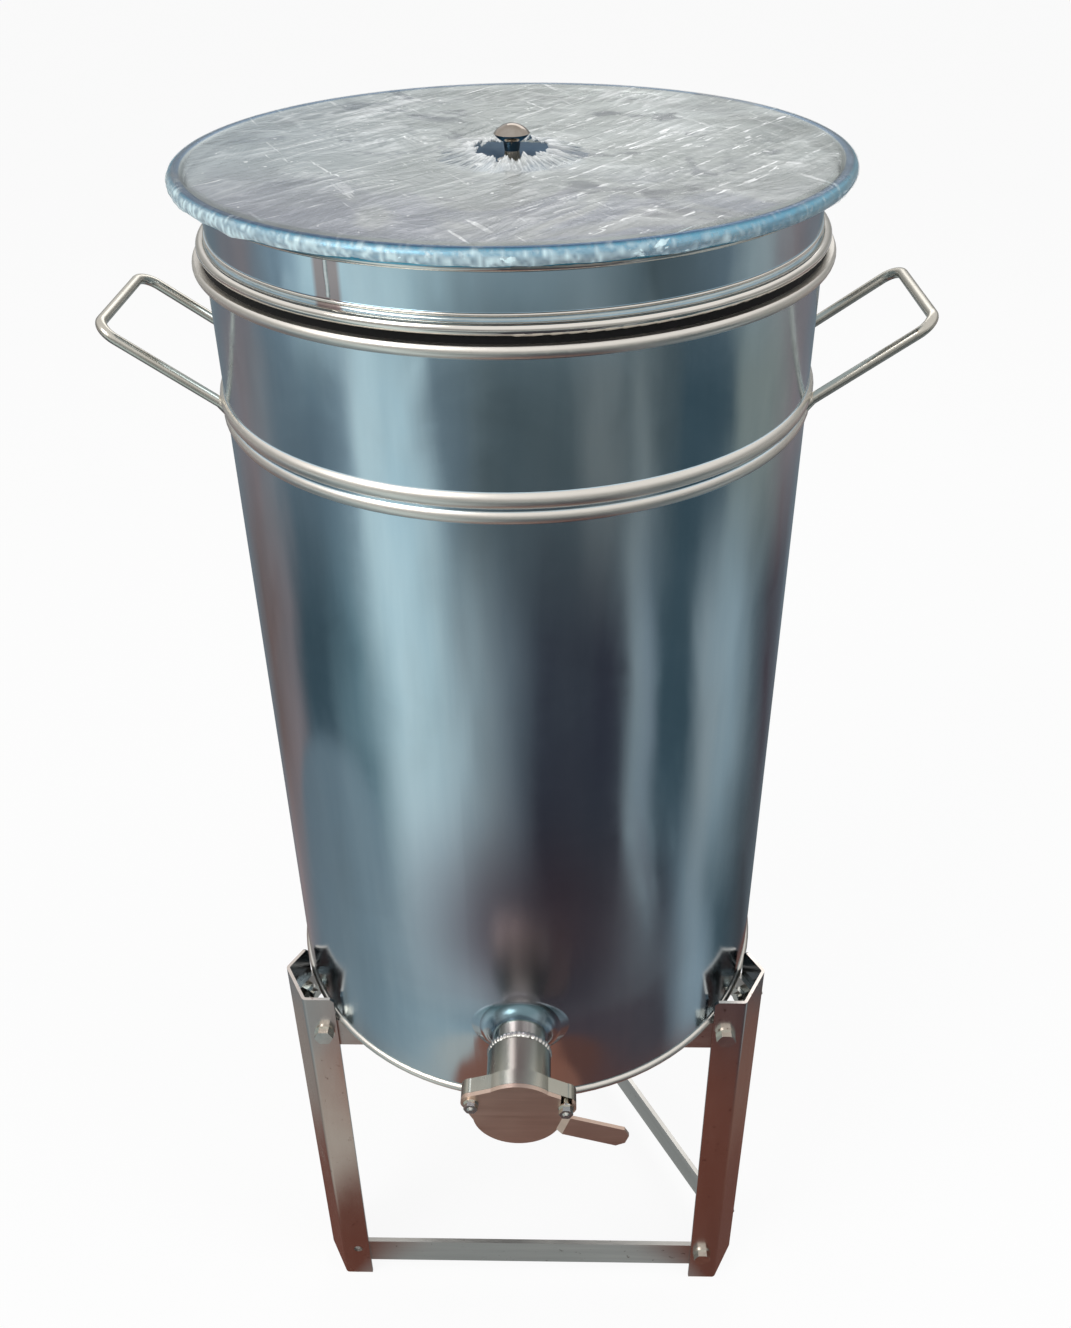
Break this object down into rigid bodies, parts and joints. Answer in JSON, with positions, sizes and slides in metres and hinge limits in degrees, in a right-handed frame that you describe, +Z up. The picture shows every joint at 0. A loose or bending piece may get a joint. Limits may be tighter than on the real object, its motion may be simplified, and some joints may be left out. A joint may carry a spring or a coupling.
{
  "type": "honey settling tank",
  "caption": "Round steel honey tank on a bolted tripod stand, with bail handles, a strainer collar, a film-wrapped lid and a swing gate at the outlet.",
  "frame": {"origin": "floor point under the tank's axis", "axes": "+Z up along the tank's axis, -Y towards the outlet, +X to the right seen from the front"},
  "size_m": [0.5196, 0.4818, 1.0256],
  "materials": {
    "tank_steel": "mirror-bright rolled stainless sheet",
    "collar_steel": "bright stainless sheet with a lap seam",
    "rod_steel": "drawn bright rod",
    "cast_steel": "satin machined stainless",
    "blade_steel": "brushed plate",
    "fastener_steel": "bright stainless",
    "seal_rubber": "matt black",
    "lid_steel": "dull rolled stainless sheet with a blue protective edge",
    "knob_chrome": "polished",
    "clear_film": "clear stretched plastic film",
    "leg_steel": "dull pressed stainless sheet",
    "bar_steel": "dull flat bar"
  },
  "bodies": {
    "stand": {"leg_left": "leg_steel", "leg_right": "leg_steel", "leg_rear": "leg_steel", "top_bar_front": "bar_steel", "top_bar_left": "bar_steel", "top_bar_right": "bar_steel", "low_bar_front": "bar_steel", "low_bar_right": "bar_steel", "stand_bolts": "fastener_steel", "stand_washers": "fastener_steel", "stand_nuts": "fastener_steel"},
    "tank": {"tank_shell": "tank_steel", "tank_bottom": "tank_steel", "handle_left": "rod_steel", "handle_right": "rod_steel", "outlet_tube": "cast_steel", "outlet_weld": "cast_steel", "gate_body": "cast_steel", "gate_seal": "seal_rubber", "gate_studs": "fastener_steel", "gate_washers": "fastener_steel", "gate_nuts": "fastener_steel"},
    "gate": {"gate_blade": "blade_steel"},
    "strainer": {"strainer_collar": "collar_steel", "strainer_screen": "collar_steel", "screen_ring": "rod_steel", "rim_seal": "seal_rubber"},
    "lid": {"lid_pan": "lid_steel", "lid_ring": "lid_steel", "lid_knob": "knob_chrome", "knob_washer": "fastener_steel", "knob_screw": "fastener_steel", "lid_wrap": "clear_film"}
  },
  "joints": [
    {"name": "tank_lift", "type": "slide", "parent": "stand", "child": "tank", "axis": [0, 0, 1], "range_m": [0, 0.1]},
    {"name": "gate_swing", "type": "hinge", "parent": "tank", "child": "gate", "pos_m": [-0.0309, -0.2606, 0.45719], "axis": [0, 1, 0], "range_deg": [0, 95]},
    {"name": "strainer_lift", "type": "slide", "parent": "tank", "child": "strainer", "axis": [0, 0, 1], "range_m": [0, 0.12]},
    {"name": "lid_lift", "type": "slide", "parent": "strainer", "child": "lid", "axis": [0, 0, 1], "range_m": [0, 0.12]}
  ]
}
